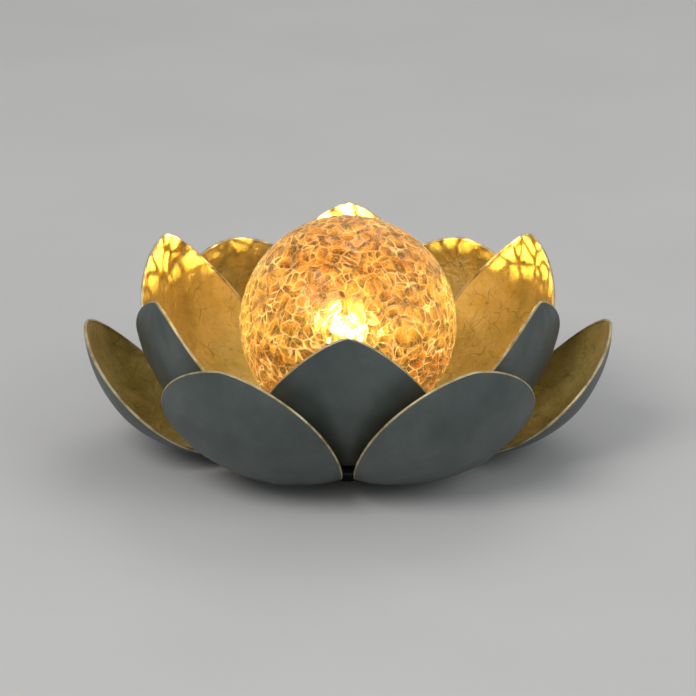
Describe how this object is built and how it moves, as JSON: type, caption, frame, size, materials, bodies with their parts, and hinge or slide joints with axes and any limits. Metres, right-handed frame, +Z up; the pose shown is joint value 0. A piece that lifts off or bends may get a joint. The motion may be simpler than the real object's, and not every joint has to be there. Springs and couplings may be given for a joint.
{
  "type": "lotus globe light",
  "caption": "Lotus-shaped light: two rings of curved sheet petals around a crackled amber glass globe on a lift-out battery lamp with a press switch.",
  "frame": {"origin": "on the floor plane under the feet, at the flower's vertical axis", "axes": "+Z up, the front inner petal points to -Y, +X to the right seen from the front"},
  "size_m": [0.2424, 0.214, 0.11],
  "materials": {
    "petal_sheet": "satin slate paint outside, gold leaf inside",
    "dish_sheet": "satin slate paint",
    "rivet_metal": "satin",
    "foot_rubber": "matt",
    "float_foam": "closed-cell foam",
    "housing_plastic": "fine moulded texture",
    "seal_rubber": "matt",
    "screw_steel": "plain",
    "solar_cell": "glossy resin over dark cells",
    "post_plastic": "glossy",
    "board_metal": "white coated",
    "led_light": "lit warm-white emitter",
    "lens_clear": "clear",
    "board_laminate": "solder-masked laminate",
    "switch_plastic": "plain",
    "cell_jacket": "plastic-sleeved steel can",
    "contact_steel": "nickel plated",
    "button_rubber": "matt",
    "amber_glass": "crackled amber glass, lit from inside",
    "collar_plastic": "fine moulded texture"
  },
  "bodies": {
    "flower": {"outer_petal_1": "petal_sheet", "outer_petal_2": "petal_sheet", "outer_petal_3": "petal_sheet", "outer_petal_4": "petal_sheet", "outer_petal_5": "petal_sheet", "outer_petal_6": "petal_sheet", "inner_petal_1": "petal_sheet", "inner_petal_2": "petal_sheet", "inner_petal_3": "petal_sheet", "inner_petal_4": "petal_sheet", "inner_petal_5": "petal_sheet", "inner_petal_6": "petal_sheet", "base_dish": "dish_sheet", "outer_petal_rivets": "rivet_metal", "inner_petal_rivets": "rivet_metal", "rubber_feet": "foot_rubber", "float_ring": "float_foam"},
    "lamp": {"lamp_housing": "housing_plastic", "battery_cover": "housing_plastic", "battery_cover_gasket": "seal_rubber", "cover_screws": "screw_steel", "housing_deck": "housing_plastic", "housing_seal": "seal_rubber", "deck_screws": "screw_steel", "solar_panel": "solar_cell", "led_post": "post_plastic", "led_board": "board_metal", "led_emitter": "led_light", "led_lens": "lens_clear", "circuit_board": "board_laminate", "power_switch": "switch_plastic", "battery": "cell_jacket", "battery_contact": "contact_steel", "battery_spring": "contact_steel"},
    "globe": {"glass_globe": "amber_glass", "globe_collar": "collar_plastic", "globe_seal": "seal_rubber"},
    "button": {"power_button": "button_rubber"}
  },
  "joints": [
    {"name": "lamp_lift", "type": "slide", "parent": "flower", "child": "lamp", "axis": [0, 0, 1], "range_m": [0, 0.12]},
    {"name": "globe_twist", "type": "hinge", "parent": "lamp", "child": "globe", "pos_m": [0, 0, 0.0223], "axis": [0, 0, 1], "range_deg": [0, 30]},
    {"name": "button_press", "type": "slide", "parent": "lamp", "child": "button", "axis": [0, 0, 1], "range_m": [0, 0.0012], "stiffness_N_per_m": 500, "springref_m": -0.001}
  ]
}
